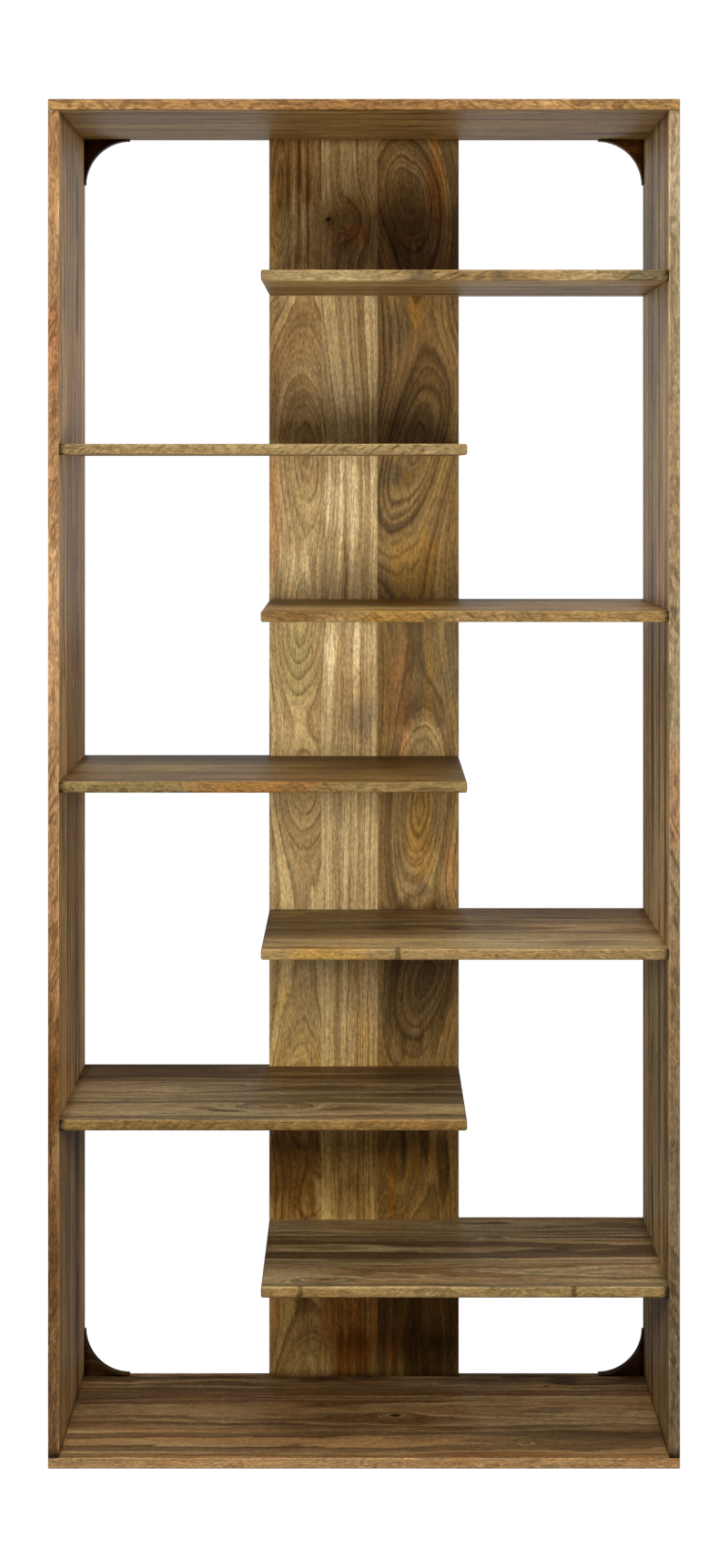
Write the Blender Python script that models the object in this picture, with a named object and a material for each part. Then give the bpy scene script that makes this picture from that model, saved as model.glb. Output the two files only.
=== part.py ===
"""Open mango-wood bookcase: seven staggered shelves fixed round a central back panel.

Metres, +Z up. X runs across the case, the front faces -Y, and the origin lies on the
floor under the middle of the case. Run it with Blender 4.5.
"""
import math

import bmesh
import bpy
from mathutils import Matrix, Vector

# The case
CASE_WIDTH = 0.900
CASE_DEPTH = 0.350
CASE_HEIGHT = 1.950
TOP_THICKNESS = 0.016
BOTTOM_THICKNESS = 0.016
SIDE_THICKNESS = 0.016

# The back panel, glued up from three upright staves
PANEL_THICKNESS = 0.016
LEFT_STAVE_WIDTH = 0.081
MIDDLE_STAVE_WIDTH = 0.087
RIGHT_STAVE_WIDTH = 0.126

# The shelves: clear heights between them, and the rounded corner of each free end
SHELF_THICKNESS = 0.016
BAY_HEIGHT = 0.465
HALF_BAY_HEIGHT = 0.227
SHELF_CORNER_RADIUS = 0.004
SHELF_CORNER_STEPS = 3

# The gussets: quarter-round brackets in the four rear corners
GUSSET_THICKNESS = 0.016
GUSSET_LEG = 0.070
GUSSET_TIP = 0.002
GUSSET_ARC_STEPS = 14

# Arrises sanded round by hand
CASE_EASING = 0.002
SHELF_EASING = 0.003
FINE_EASING = 0.001
EASING_STEPS = 2

# Space left in every seat and glue line
SEAT_GAP = 0.0003

# Fluted dowels, glued into blind bores
DOWEL_DIAMETER = 0.008
DOWEL_LENGTH = 0.030
DOWEL_CHAMFER = 0.001
DOWEL_FLUTE_DEPTH = 0.0003
DOWEL_SIDES = 12
DOWEL_END_ROOM = 0.0005
FACE_BORE_SHARE = 0.65
CORNER_DOWEL_SETBACK = 0.060
SHELF_DOWEL_SETBACK = 0.075

# Countersunk screws, driven through the back panel into the shelves
SCREW_LENGTH = 0.040
SCREW_DIAMETER = 0.004
SCREW_HEAD_DIAMETER = 0.008
SCREW_HEAD_RIM = 0.0004
SCREW_HEAD_SINK = 0.0004
SCREW_POINT_LENGTH = 0.006
SCREW_POINT_DIAMETER = 0.001
SCREW_SIDES = 10
RECESS_SPAN = 0.0044
RECESS_SLOT = 0.0012
RECESS_DEPTH = 0.0014

# How far a cutter stands past the face that it opens
CUT_OVERRUN = 0.002

# Worked out from the sizes above
PANEL_WIDTH = LEFT_STAVE_WIDTH + MIDDLE_STAVE_WIDTH + RIGHT_STAVE_WIDTH
PANEL_LEFT = -PANEL_WIDTH / 2
PANEL_RIGHT = PANEL_WIDTH / 2
FRONT = -CASE_DEPTH / 2
REAR = CASE_DEPTH / 2
PANEL_FRONT = REAR - PANEL_THICKNESS
OUTER_STAVE_MIDDLES = {
    "left": PANEL_LEFT + LEFT_STAVE_WIDTH / 2,
    "right": PANEL_RIGHT - RIGHT_STAVE_WIDTH / 2,
}
INNER_RIGHT = CASE_WIDTH / 2 - SIDE_THICKNESS
INNER_FLOOR = BOTTOM_THICKNESS
INNER_CEILING = CASE_HEIGHT - TOP_THICKNESS
UPRIGHT_LENGTH = INNER_CEILING - INNER_FLOOR - 2 * SEAT_GAP
SHELF_PITCH = BAY_HEIGHT + SHELF_THICKNESS

# Each shelf's underside. The left ones are one bay apart from the floor up. The right
# ones start half a bay up, and the highest of them hangs half a bay under the top.
LEFT_SHELVES = {
    "left_shelf_upper": INNER_FLOOR + BAY_HEIGHT + 2 * SHELF_PITCH,
    "left_shelf_middle": INNER_FLOOR + BAY_HEIGHT + SHELF_PITCH,
    "left_shelf_lower": INNER_FLOOR + BAY_HEIGHT,
}
RIGHT_SHELVES = {
    "right_shelf_top": INNER_CEILING - HALF_BAY_HEIGHT - SHELF_THICKNESS,
    "right_shelf_upper": INNER_FLOOR + HALF_BAY_HEIGHT + 2 * SHELF_PITCH,
    "right_shelf_lower": INNER_FLOOR + HALF_BAY_HEIGHT + SHELF_PITCH,
    "right_shelf_bottom": INNER_FLOOR + HALF_BAY_HEIGHT,
}

# Base colour (linear), roughness and metallic value of each finish
FINISHES = {
    "mango_case": ((0.36, 0.23, 0.11), 0.55, 0.0),
    "mango_shelf": ((0.31, 0.21, 0.10), 0.55, 0.0),
    "mango_pale_stave": ((0.38, 0.27, 0.14), 0.55, 0.0),
    "mango_gold_stave": ((0.40, 0.28, 0.14), 0.55, 0.0),
    "mango_dark_stave": ((0.19, 0.11, 0.05), 0.55, 0.0),
    "beech_dowel": ((0.55, 0.40, 0.24), 0.70, 0.0),
    "zinc_steel": ((0.60, 0.59, 0.57), 0.35, 1.0),
}


def clear_scene():
    for old in list(bpy.data.objects):
        bpy.data.objects.remove(old, do_unlink=True)


def make_finishes():
    """One Principled material for each row of FINISHES."""
    made = {}
    for name, (colour, roughness, metallic) in FINISHES.items():
        finish = bpy.data.materials.new(name)
        finish.use_nodes = True
        shader = finish.node_tree.nodes["Principled BSDF"]
        shader.inputs["Base Color"].default_value = (*colour, 1.0)
        shader.inputs["Roughness"].default_value = roughness
        shader.inputs["Metallic"].default_value = metallic
        finish.diffuse_color = (*colour, 1.0)
        made[name] = finish
    return made


def to_mesh(shape, name):
    """Turn a finished bmesh into a mesh with outward faces."""
    bmesh.ops.recalc_face_normals(shape, faces=shape.faces)
    mesh = bpy.data.meshes.new(name)
    shape.to_mesh(mesh)
    shape.free()
    return mesh


def add_piece(name, mesh, finish, location, rotation=(0.0, 0.0, 0.0)):
    """Place one piece of the bookcase under the case's empty."""
    piece = bpy.data.objects.new(name, mesh)
    if not mesh.materials:
        mesh.materials.append(finish)
    piece.location = location
    piece.rotation_euler = rotation
    piece.parent = bpy.data.objects["bookcase"]
    bpy.context.scene.collection.objects.link(piece)
    return piece


def arc(centre, radius, start, end, steps):
    """Points of an arc in the plane, both ends included; the angles are in degrees."""
    points = []
    for step in range(steps + 1):
        angle = math.radians(start + (end - start) * step / steps)
        points.append((centre[0] + radius * math.cos(angle), centre[1] + radius * math.sin(angle)))
    return points


def slab(outline, height, easing, eased_sides=(), eased_corners=()):
    """Extrude an anticlockwise outline from z = 0 up, and round some of its arrises.

    Side i runs from corner i to the next one. The arrises above and below side i are
    rounded if i is in eased_sides, and the upright one at corner i if it is in
    eased_corners.
    """
    shape = bmesh.new()
    lower = [shape.verts.new((x, y, 0.0)) for x, y in outline]
    base = shape.faces.new(lower)
    extruded = bmesh.ops.extrude_face_region(shape, geom=[base], use_keep_orig=True)
    raised = [item for item in extruded["geom"] if isinstance(item, bmesh.types.BMVert)]
    bmesh.ops.translate(shape, verts=raised, vec=(0.0, 0.0, height))
    risers = [next(edge for edge in vert.link_edges if edge.other_vert(vert) in raised) for vert in lower]
    upper = [riser.other_vert(vert) for riser, vert in zip(risers, lower)]
    arrises = [risers[corner] for corner in eased_corners]
    for side in eased_sides:
        after = (side + 1) % len(outline)
        arrises.append(shape.edges.get((lower[side], lower[after])))
        arrises.append(shape.edges.get((upper[side], upper[after])))
    bmesh.ops.bevel(shape, geom=arrises, offset=easing, segments=EASING_STEPS, profile=0.5, affect="EDGES")
    return shape


def rectangle(width, depth):
    """Outline centred on the origin: corners 0 and 1 are at the front, 2 and 3 behind."""
    x = width / 2
    y = depth / 2
    return [(-x, -y), (x, -y), (x, y), (-x, y)]


def add_turned(shape, rings, sides, matrix, flute_depth=0.0):
    """Add a closed turned body about local Z to a bmesh.

    rings lists (radius, height) from the lowest to the highest. Every second lengthwise
    arris is drawn in by flute_depth.
    """
    loops = []
    for radius, height in rings:
        loop = []
        for side in range(sides):
            angle = math.tau * side / sides
            reach = radius - flute_depth * (side % 2)
            point = Vector((reach * math.cos(angle), reach * math.sin(angle), height))
            loop.append(shape.verts.new(matrix @ point))
        loops.append(loop)
    shape.faces.new(reversed(loops[0]))
    shape.faces.new(loops[-1])
    for below, above in zip(loops, loops[1:]):
        for side in range(sides):
            after = (side + 1) % sides
            shape.faces.new((below[side], below[after], above[after], above[side]))


def make_case(finishes):
    """Top and bottom over the full width, with the two sides standing between them."""
    board = rectangle(CASE_WIDTH, CASE_DEPTH)
    every = (0, 1, 2, 3)
    for name, thickness, height in (
        ("bottom_board", BOTTOM_THICKNESS, 0.0),
        ("top_board", TOP_THICKNESS, INNER_CEILING),
    ):
        shape = slab(board, thickness, CASE_EASING, eased_sides=every, eased_corners=every)
        add_piece(name, to_mesh(shape, name), finishes["mango_case"], (0.0, 0.0, height))
    upright = rectangle(SIDE_THICKNESS, CASE_DEPTH)
    for name, side in (("left_side", -1), ("right_side", 1)):
        shape = slab(upright, UPRIGHT_LENGTH, CASE_EASING, eased_corners=every)
        middle = side * (INNER_RIGHT + SIDE_THICKNESS / 2)
        add_piece(name, to_mesh(shape, name), finishes["mango_case"], (middle, 0.0, INNER_FLOOR + SEAT_GAP))


def make_back_panel(finishes):
    """Three upright staves, edge to edge and flush with the back of the case."""
    middle_left = PANEL_LEFT + LEFT_STAVE_WIDTH
    middle_right = middle_left + MIDDLE_STAVE_WIDTH
    glue = SEAT_GAP / 2
    staves = (
        ("back_stave_left", "mango_pale_stave", PANEL_LEFT, middle_left - glue, (0, 3)),
        ("back_stave_middle", "mango_gold_stave", middle_left + glue, middle_right - glue, ()),
        ("back_stave_right", "mango_dark_stave", middle_right + glue, PANEL_RIGHT, (1, 2)),
    )
    for name, finish, left, right, eased in staves:
        outline = rectangle(right - left, PANEL_THICKNESS)
        shape = slab(outline, UPRIGHT_LENGTH, FINE_EASING, eased_corners=eased)
        location = ((left + right) / 2, REAR - PANEL_THICKNESS / 2, INNER_FLOOR + SEAT_GAP)
        add_piece(name, to_mesh(shape, name), finishes[finish], location)


def shelf_shape():
    """A left shelf from its side board (x = 0) to the panel's far edge.

    Its rear edge is notched round the back panel, and the front corner of its free end
    is rounded. Sides 0 to the one after the arc are the edges that show.
    """
    length = INNER_RIGHT - SEAT_GAP + PANEL_RIGHT
    notch_x = length - PANEL_WIDTH - SEAT_GAP
    notch_y = PANEL_FRONT - SEAT_GAP
    radius = SHELF_CORNER_RADIUS
    corner = arc((length - radius, FRONT + radius), radius, -90, 0, SHELF_CORNER_STEPS)
    outline = [(0.0, FRONT), *corner, (length, notch_y), (notch_x, notch_y), (notch_x, REAR), (0.0, REAR)]
    visible = range(len(corner) + 1)
    return slab(outline, SHELF_THICKNESS, SHELF_EASING, eased_sides=visible)


def make_shelves(finishes):
    for name, height in LEFT_SHELVES.items():
        start = -INNER_RIGHT + SEAT_GAP
        add_piece(name, to_mesh(shelf_shape(), name), finishes["mango_shelf"], (start, 0.0, height))
    for name, height in RIGHT_SHELVES.items():
        shape = shelf_shape()
        bmesh.ops.scale(shape, vec=(-1.0, 1.0, 1.0), verts=shape.verts)
        start = INNER_RIGHT - SEAT_GAP
        add_piece(name, to_mesh(shape, name), finishes["mango_shelf"], (start, 0.0, height))


def gusset_shape():
    """Bracket with its square corner at the origin and a hollow quarter round between
    two short blunt tips."""
    radius = GUSSET_LEG - GUSSET_TIP
    hollow = arc((GUSSET_LEG, GUSSET_LEG), radius, -90, -180, GUSSET_ARC_STEPS)
    outline = [(0.0, 0.0), (GUSSET_LEG, 0.0), *hollow, (0.0, GUSSET_LEG)]
    curved = range(2, 2 + GUSSET_ARC_STEPS)
    return slab(outline, GUSSET_THICKNESS, FINE_EASING, eased_sides=curved)


def make_gussets(finishes):
    """One bracket in each rear corner, its legs along the side and the top or bottom."""
    x = INNER_RIGHT - SEAT_GAP
    low = INNER_FLOOR + SEAT_GAP
    high = INNER_CEILING - SEAT_GAP
    corners = (
        ("gusset_bottom_left", (-x, REAR, low), 0),
        ("gusset_bottom_right", (x, REAR, low), -90),
        ("gusset_top_right", (x, REAR, high), 180),
        ("gusset_top_left", (-x, REAR, high), 90),
    )
    stand_up = Matrix.Rotation(math.radians(90), 4, "X")
    for name, location, turn in corners:
        rotation = (Matrix.Rotation(math.radians(turn), 4, "Y") @ stand_up).to_euler()
        add_piece(name, to_mesh(gusset_shape(), name), finishes["mango_case"], location, rotation)


def dowel_places():
    """Name, face board, end-grain board, and matrix of every dowel.

    Local +Z points from the end-grain board into the face board, and local zero is on
    the plane where the two meet.
    """
    places = []
    for board, height, turn in (("top_board", INNER_CEILING, 0), ("bottom_board", INNER_FLOOR, 180)):
        upward = Matrix.Rotation(math.radians(turn), 4, "X")
        level = board.split("_")[0]
        for hand, sign in (("left", -1), ("right", 1)):
            x = sign * (INNER_RIGHT + SIDE_THICKNESS / 2)
            for end, y in (("front", FRONT + CORNER_DOWEL_SETBACK), ("rear", REAR - CORNER_DOWEL_SETBACK)):
                matrix = Matrix.Translation((x, y, height)) @ upward
                places.append((f"dowel_{level}_{hand}_{end}", board, f"{hand}_side", matrix))
            middle = (OUTER_STAVE_MIDDLES[hand], REAR - PANEL_THICKNESS / 2, height)
            matrix = Matrix.Translation(middle) @ upward
            places.append((f"dowel_{level}_panel_{hand}", board, f"back_stave_{hand}", matrix))
    for hand, sign, shelves in (("left", -1, LEFT_SHELVES), ("right", 1, RIGHT_SHELVES)):
        outward = Matrix.Rotation(math.radians(90 * sign), 4, "Y")
        for shelf, underside in shelves.items():
            height = underside + SHELF_THICKNESS / 2
            for end, y in (("front", FRONT + SHELF_DOWEL_SETBACK), ("rear", REAR - SHELF_DOWEL_SETBACK)):
                matrix = Matrix.Translation((sign * INNER_RIGHT, y, height)) @ outward
                places.append((f"dowel_{shelf}_{end}", f"{hand}_side", shelf, matrix))
    return places


def face_bore_depth(board):
    """Depth of a dowel's blind bore in the flat face of a case board."""
    thickness = {
        "top_board": TOP_THICKNESS,
        "bottom_board": BOTTOM_THICKNESS,
        "left_side": SIDE_THICKNESS,
        "right_side": SIDE_THICKNESS,
    }[board]
    return thickness * FACE_BORE_SHARE


def make_dowels(finishes, cutters):
    """Fluted dowels with chamfered ends, and the round bores that they are glued into."""
    radius = DOWEL_DIAMETER / 2
    nose = radius - DOWEL_CHAMFER
    bore = radius + SEAT_GAP
    for name, face_board, end_board, matrix in dowel_places():
        high = face_bore_depth(face_board) - DOWEL_END_ROOM
        low = high - DOWEL_LENGTH
        rings = [(nose, low), (radius, low + DOWEL_CHAMFER), (radius, high - DOWEL_CHAMFER), (nose, high)]
        shape = bmesh.new()
        add_turned(shape, rings, DOWEL_SIDES, Matrix(), DOWEL_FLUTE_DEPTH)
        mesh = to_mesh(shape, name)
        mesh.shade_smooth()
        mesh.set_sharp_from_angle(angle=math.radians(40))
        add_piece(name, mesh, finishes["beech_dowel"], matrix.translation, matrix.to_euler())
        into_face = [(bore, -CUT_OVERRUN), (bore, high + DOWEL_END_ROOM)]
        into_end = [(bore, low - DOWEL_END_ROOM), (bore, CUT_OVERRUN)]
        add_turned(cutters[face_board], into_face, DOWEL_SIDES, matrix)
        add_turned(cutters[end_board], into_end, DOWEL_SIDES, matrix)


def screw_rings(room):
    """Profile of a screw from its point up to its head, all over larger by room."""
    shank = SCREW_DIAMETER / 2 + room
    head = SCREW_HEAD_DIAMETER / 2 + room
    point = SCREW_POINT_DIAMETER / 2 + room
    neck = -SCREW_HEAD_RIM - (SCREW_HEAD_DIAMETER - SCREW_DIAMETER) / 2
    return [
        (point, -SCREW_LENGTH - room),
        (shank, -SCREW_LENGTH + SCREW_POINT_LENGTH),
        (shank, neck),
        (head, -SCREW_HEAD_RIM),
        (head, 0.0),
    ]


def screw_mesh(finish):
    """Countersunk screw, head uppermost, with a cross cut into its head."""
    shape = bmesh.new()
    add_turned(shape, screw_rings(0.0), SCREW_SIDES, Matrix())
    blank = add_piece("screw_blank", to_mesh(shape, "screw_blank"), finish, (0.0, 0.0, 0.0))
    cross = bmesh.new()
    arm = RECESS_SPAN / 2
    slot = RECESS_SLOT / 2
    quarter = [(arm, -slot), (arm, slot), (slot, slot)]
    outline = []
    for turn in range(4):
        angle = math.radians(90 * turn)
        for x, y in quarter:
            outline.append((x * math.cos(angle) - y * math.sin(angle), x * math.sin(angle) + y * math.cos(angle)))
    base = cross.faces.new([cross.verts.new((x, y, -RECESS_DEPTH)) for x, y in outline])
    raised = bmesh.ops.extrude_face_region(cross, geom=[base], use_keep_orig=True)["geom"]
    lifted = [item for item in raised if isinstance(item, bmesh.types.BMVert)]
    bmesh.ops.translate(cross, verts=lifted, vec=(0.0, 0.0, RECESS_DEPTH + CUT_OVERRUN))
    cutter = add_cutter("recess_cutter", cross)
    cut(blank, cutter)
    bpy.context.view_layer.update()
    evaluated = blank.evaluated_get(bpy.context.evaluated_depsgraph_get())
    mesh = bpy.data.meshes.new_from_object(evaluated)
    mesh.name = "countersunk_screw"
    mesh.shade_smooth()
    mesh.set_sharp_from_angle(angle=math.radians(30))
    bpy.data.objects.remove(blank, do_unlink=True)
    bpy.data.objects.remove(cutter, do_unlink=True)
    return mesh


def make_screws(finishes, cutters):
    """Two screws through the back panel into the rear edge of every shelf."""
    mesh = screw_mesh(finishes["zinc_steel"])
    outward = Matrix.Rotation(math.radians(-90), 4, "X")
    hole = screw_rings(SEAT_GAP)
    mouth = hole[-1][0]
    hole.append((mouth, SCREW_HEAD_SINK + CUT_OVERRUN))
    for shelf, underside in (LEFT_SHELVES | RIGHT_SHELVES).items():
        height = underside + SHELF_THICKNESS / 2
        for hand, x in OUTER_STAVE_MIDDLES.items():
            matrix = Matrix.Translation((x, REAR - SCREW_HEAD_SINK, height)) @ outward
            add_piece(f"screw_{shelf}_{hand}", mesh, None, matrix.translation, matrix.to_euler())
            add_turned(cutters[f"back_stave_{hand}"], hole, SCREW_SIDES, matrix)
            add_turned(cutters[shelf], hole, SCREW_SIDES, matrix)


def add_cutter(name, shape):
    """A hidden body that is cut out of a piece."""
    cutter = bpy.data.objects.new(name, to_mesh(shape, name))
    cutter.hide_render = True
    cutter.display_type = "WIRE"
    bpy.context.scene.collection.objects.link(cutter)
    return cutter


def cut(piece, cutter):
    modifier = piece.modifiers.new("bores", "BOOLEAN")
    modifier.operation = "DIFFERENCE"
    modifier.solver = "EXACT"
    modifier.object = cutter


def main():
    clear_scene()
    case = bpy.data.objects.new("bookcase", None)
    bpy.context.scene.collection.objects.link(case)
    finishes = make_finishes()
    make_case(finishes)
    make_back_panel(finishes)
    make_shelves(finishes)
    make_gussets(finishes)
    bored = ["top_board", "bottom_board", "left_side", "right_side", "back_stave_left", "back_stave_right"]
    bored += [*LEFT_SHELVES, *RIGHT_SHELVES]
    cutters = {name: bmesh.new() for name in bored}
    make_dowels(finishes, cutters)
    make_screws(finishes, cutters)
    for name, shape in cutters.items():
        cut(bpy.data.objects[name], add_cutter(f"bores_of_{name}", shape))


main()
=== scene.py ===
import math

import bmesh
import bpy
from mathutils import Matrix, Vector, noise


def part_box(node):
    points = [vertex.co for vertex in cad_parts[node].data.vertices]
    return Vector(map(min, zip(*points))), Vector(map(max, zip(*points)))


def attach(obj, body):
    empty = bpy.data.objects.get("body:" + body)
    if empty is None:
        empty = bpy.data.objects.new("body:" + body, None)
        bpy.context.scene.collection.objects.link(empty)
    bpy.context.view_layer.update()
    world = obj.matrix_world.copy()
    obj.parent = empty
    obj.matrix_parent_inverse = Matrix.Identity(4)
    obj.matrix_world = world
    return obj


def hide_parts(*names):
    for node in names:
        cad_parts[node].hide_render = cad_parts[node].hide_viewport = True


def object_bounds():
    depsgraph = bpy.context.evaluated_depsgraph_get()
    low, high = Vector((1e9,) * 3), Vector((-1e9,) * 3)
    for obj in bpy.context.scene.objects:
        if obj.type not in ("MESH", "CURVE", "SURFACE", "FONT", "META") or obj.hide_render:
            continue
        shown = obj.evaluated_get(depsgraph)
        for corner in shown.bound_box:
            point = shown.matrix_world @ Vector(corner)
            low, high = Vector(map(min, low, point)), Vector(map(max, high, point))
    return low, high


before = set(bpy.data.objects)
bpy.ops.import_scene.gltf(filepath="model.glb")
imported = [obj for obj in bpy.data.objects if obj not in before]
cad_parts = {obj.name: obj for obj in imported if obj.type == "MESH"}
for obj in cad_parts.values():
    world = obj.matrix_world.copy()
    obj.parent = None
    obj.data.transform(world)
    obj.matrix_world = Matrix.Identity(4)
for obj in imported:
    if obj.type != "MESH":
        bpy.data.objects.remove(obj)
cad_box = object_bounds()

# The bookcase's looks: every board, gusset, dowel and screw of the frame gets its finish.
# Lengths are metres, but millimetres in the tables of the timber. X runs along the
# shelves, Y from front to back, Z is up.

MILLIMETRE = 0.001
X, Y, Z = range(3)
WHITE = (1.0, 1.0, 1.0, 1.0)


def metres(millimetres):
    return [length * MILLIMETRE for length in millimetres]


def new_object(name, data):
    thing = bpy.data.objects.new(name, data)
    bpy.context.scene.collection.objects.link(thing)
    return thing


# Camera, as in the photograph: level, a little above the middle of the case

CAMERA_HEIGHT = 1.426
CAMERA_TO_FRONT = 3.720
VIEW_HEIGHT_AT_FRONT = 2.231
HORIZON_ABOVE_MIDDLE = 0.2022
SENSOR_SIZE = 36.0


def make_camera():
    """Level camera in front of the case. Its view is shifted down, not tilted, so the
    uprights stay upright."""
    data = bpy.data.cameras.new("photograph_camera")
    data.sensor_width = SENSOR_SIZE
    data.lens = SENSOR_SIZE * CAMERA_TO_FRONT / VIEW_HEIGHT_AT_FRONT
    data.shift_y = -HORIZON_ABOVE_MIDDLE
    camera = new_object("photograph_camera", data)
    camera.location = (0.0, cad_box[0].y - CAMERA_TO_FRONT, CAMERA_HEIGHT)
    camera.rotation_euler = (math.radians(90), 0.0, 0.0)
    bpy.context.scene.camera = camera


# Short calls for node trees


class Net:
    """Adds nodes to one tree. A value is a number, a colour or another node's output."""

    def __init__(self, tree):
        self.tree = tree

    def feed(self, socket, value):
        if isinstance(value, bpy.types.NodeSocket):
            self.tree.links.new(value, socket)
        else:
            socket.default_value = value

    def add(self, kind, values=None, **settings):
        node = self.tree.nodes.new(kind)
        for name, setting in settings.items():
            setattr(node, name, setting)
        for key, value in (values or {}).items():
            self.feed(node.inputs[key], value)
        return node

    def math(self, operation, *values):
        return self.add("ShaderNodeMath", dict(enumerate(values)), operation=operation).outputs[0]

    def sum(self, *values):
        total = values[0]
        for value in values[1:]:
            total = self.math("ADD", total, value)
        return total

    def times(self, first, second):
        return self.math("MULTIPLY", first, second)

    def square(self, value):
        return self.math("POWER", value, 2.0)

    def ramp(self, value, low, high, bottom=0.0, top=1.0, smooth=False):
        """A value's place between low and high, as a number from bottom to top."""
        kind = "SMOOTHSTEP" if smooth else "LINEAR"
        values = {0: value, 1: low, 2: high, 3: bottom, 4: top}
        return self.add("ShaderNodeMapRange", values, interpolation_type=kind).outputs[0]

    def blend(self, share, first, second, way="MIX"):
        values = {0: share, 6: first, 7: second}
        node = self.add("ShaderNodeMix", values, data_type="RGBA", blend_type=way)
        return node.outputs[2]

    def tinted(self, colour, tint):
        return self.blend(1.0, colour, tint, "MULTIPLY")

    def vector(self, x, y, z):
        return self.add("ShaderNodeCombineXYZ", {0: x, 1: y, 2: z}).outputs[0]

    def noise(self, point, scale, detail):
        values = {"Vector": point, "Scale": scale, "Detail": detail}
        return self.add("ShaderNodeTexNoise", values).outputs[0]

    def grain_noise(self, point, across, along, detail, offset):
        """Noise with its own number of spots per metre across and along the grain."""
        values = {0: point, 1: (across, across, along), 2: (offset, offset, offset)}
        scaled = self.add("ShaderNodeVectorMath", values, operation="MULTIPLY_ADD")
        return self.noise(scaled.outputs[0], 1.0, detail)

    def line_noise(self, place, detail):
        values = {"W": place, "Scale": 1.0, "Detail": detail}
        return self.add("ShaderNodeTexNoise", values, noise_dimensions="1D").outputs[0]

    def bump(self, strength, depth, height):
        values = {"Strength": strength, "Distance": depth, "Height": height}
        return self.add("ShaderNodeBump", values).outputs[0]

    def group(self, tree, values):
        """Outputs of a node group that is given its values by name or in their order."""
        if not isinstance(values, dict):
            values = dict(enumerate(values))
        node = self.add("ShaderNodeGroup", node_tree=tree)
        for key, value in values.items():
            self.feed(node.inputs[key], value)
        return node.outputs


def new_group(name, floats, outputs, colours=()):
    """Empty node group, as (tree, net, input sockets, output sockets)."""
    tree = bpy.data.node_groups.new(name, "ShaderNodeTree")
    sockets = [(socket, "INPUT", "Float") for socket in floats]
    sockets += [(socket, "INPUT", "Color") for socket in colours]
    sockets += [(socket, "OUTPUT", kind) for socket, kind in outputs.items()]
    for socket, way, kind in sockets:
        tree.interface.new_socket(socket, in_out=way, socket_type="NodeSocket" + kind)
    net = Net(tree)
    entry = net.add("NodeGroupInput")
    return tree, net, entry.outputs, net.add("NodeGroupOutput").inputs


def new_material(name):
    """Plain material, as (material, net, shader inputs)."""
    material = bpy.data.materials.new(name)
    material.use_nodes = True
    shader = material.node_tree.nodes["Principled BSDF"]
    return material, Net(material.node_tree), shader.inputs


# Mango wood: growth rings round a heart that lies beside or below the stave, cut by the face

# Each noise: spots per metre across the grain and along it, detail, offset
NOISES = {
    "broad wave": (9, 1.4, 2, 0),
    "middle wave": (42, 7, 2, 3.1),
    "small wave": (170, 34, 1, 7.7),
    "edge wave": (46, 26, 2, 5.3),
    "breaks": (60, 9, 1, 1.3),
    "stripe": (340, 3.2, 3, 5.9),
    "broad stripe": (80, 1.7, 1, 15.1),
    "fibre": (900, 26, 2, 2.3),
    "speckle": (460, 150, 2, 4.1),
    "blotch": (26, 8, 3, 8.3),
    "pore": (620, 60, 1, 6.7),
    "warm place": (15, 2.4, 2, 9.9),
    "stroke place": (4, 4.5, 1, 12.3),
}
WAVER_NOISE = (95, 14, 2)

# Each span: the low and high of a value, and what they become if that isn't 0 and 1
SPANS = {
    "broad wave": (0, 1, -1.7, 1.7),
    "middle wave": (0, 1, -0.75, 0.75),
    "small wave": (0, 1, -0.18, 0.18),
    "edge wave": (0.2, 0.8, -1.9, 1.9),
    "breaks": (0.32, 0.58, 0.45, 1),
    "late wood": (0.60, 0.93),
    "ring end": (1, 0.94),
    "wide band": (0.3, 0.7, -0.24, 0.24),
    "slim band": (0.3, 0.7, -0.20, 0.20),
    "dark band": (0.68, 0.86),
    "stripe": (0.35, 0.65, -0.4, 0.4),
    "broad stripe": (0.35, 0.65, -0.3, 0.3),
    "stripes on an edge": (0, 1, 1, 0.35),
    "bands on an edge": (0, 1, 1, 0.55),
    "fibre": (0.3, 0.7, -0.20, 0.20),
    "speckle": (0.3, 0.7, -0.28, 0.28),
    "blotch": (0.3, 0.7, -0.14, 0.14),
    "pore": (0.60, 0.72),
    "warm place": (0.48, 0.7),
    "stroke place": (0.38, 0.56),
    "stroke": (0.52, 0.64),
    "roughness": (0.2, 0.8, 0.40, 0.52),
    "patch": (1.5, 0.25),
    "waver": (0.2, 0.8, -0.9, 0.9),
    "facing front": (-0.5, -0.85),
    "facing end": (0.6, 0.9),
}

# Each band noise: its rate along the rings, its share of the seed, detail
BANDS = {"wide": (0.31, 1.0, 1), "slim": (1.25, 1.0, 1), "dark": (0.55, 2.0, 2)}
BAND_STRIPES = 0.35
FINE_LINES = 2.7
FINE_LINE_START = 0.4
FINE_LINE_SHARE = 0.20
SEED_SHIFT = 1.73
RING_SHIFT = 0.008
STROKES_ACROSS = 190.0
STROKES_ALONG = 26.0
STROKE_DARKNESS = 0.4
PORE_DARKNESS = 0.42
PORE_ROUGHNESS = 0.12
RELIEF = {"fibre": 0.5, "speckle": 0.3, "pore": -0.7, "late wood": -0.2}


FORM_FLOATS = (
    "Across", "Along", "Middle Across", "Middle Along", "Half Across", "Half Along",
)


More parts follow.
